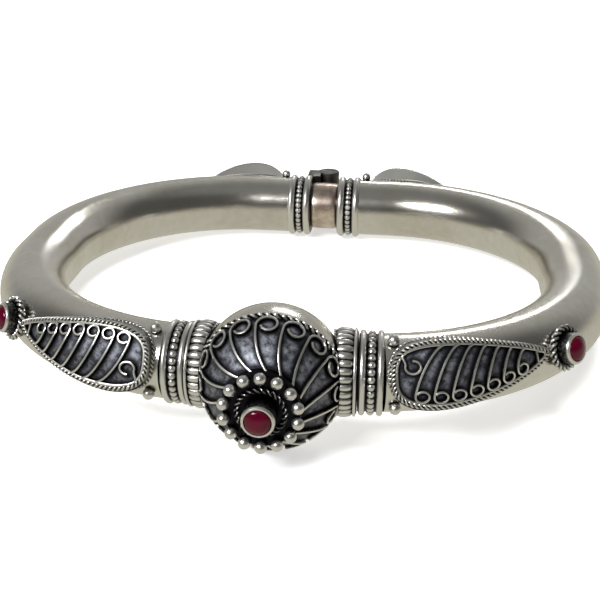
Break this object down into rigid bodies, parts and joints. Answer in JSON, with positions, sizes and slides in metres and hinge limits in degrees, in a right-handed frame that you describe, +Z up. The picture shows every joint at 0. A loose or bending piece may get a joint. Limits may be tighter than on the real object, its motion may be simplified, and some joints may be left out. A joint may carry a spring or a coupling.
{
  "type": "hinged tube bangle (kada)",
  "caption": "Hollow silver hinged bangle with a filigree ball and flower in front, teardrop filigree panels, grain and rope wirework and small crimson cabochons.",
  "frame": {"origin": "middle of the bangle's footprint on the surface it lies on, inside the wrist opening", "axes": "+Z up, out of the surface that the bangle rests on; -Y towards the ball and flower, +Y towards the hinge; +X, along the longest extent, towards the half that swings open"},
  "size_m": [0.0776, 0.0764, 0.0157],
  "materials": {
    "polished_silver": "polished silver with a warm grey patina",
    "worked_silver": "silver wire and grains, bright on the crests and dark in the recesses",
    "oxidised_silver": "blackened silver floor with a bluish sheen",
    "hinge_bronze": "smooth, faintly coppery",
    "hinge_metal": "dull grey silver",
    "ruby": "polished crimson cabochon"
  },
  "bodies": {
    "left_half": {"left_tube": "polished_silver", "ball_shell": "polished_silver", "ball_rope": "worked_silver", "ball_dome": "oxidised_silver", "dome_ribs": "worked_silver", "flower_setting": "worked_silver", "flower_ruby": "ruby", "left_collar": "worked_silver", "right_collar": "worked_silver", "left_front_rings": "worked_silver", "left_front_panel": "oxidised_silver", "left_front_curls": "worked_silver", "left_front_grains": "worked_silver", "left_side_setting": "worked_silver", "left_side_ruby": "ruby", "left_back_panel": "oxidised_silver", "left_back_curls": "worked_silver", "left_back_grains": "worked_silver", "left_back_rings": "worked_silver", "hinge_band": "hinge_bronze", "left_knuckles": "hinge_metal", "hinge_pin": "hinge_metal"},
    "right_half": {"right_tube": "polished_silver", "right_front_rings": "worked_silver", "right_front_panel": "oxidised_silver", "right_front_curls": "worked_silver", "right_front_grains": "worked_silver", "right_side_setting": "worked_silver", "right_side_ruby": "ruby", "right_back_panel": "oxidised_silver", "right_back_curls": "worked_silver", "right_back_grains": "worked_silver", "right_back_rings": "worked_silver", "right_knuckle": "hinge_metal", "clasp_tongue": "hinge_metal"}
  },
  "joints": [
    {"name": "back_hinge", "type": "hinge", "parent": "left_half", "child": "right_half", "pos_m": [0, 0.03639, 0.00429], "axis": [0, 0.0549, 0.9985], "range_deg": [0, 60]}
  ]
}
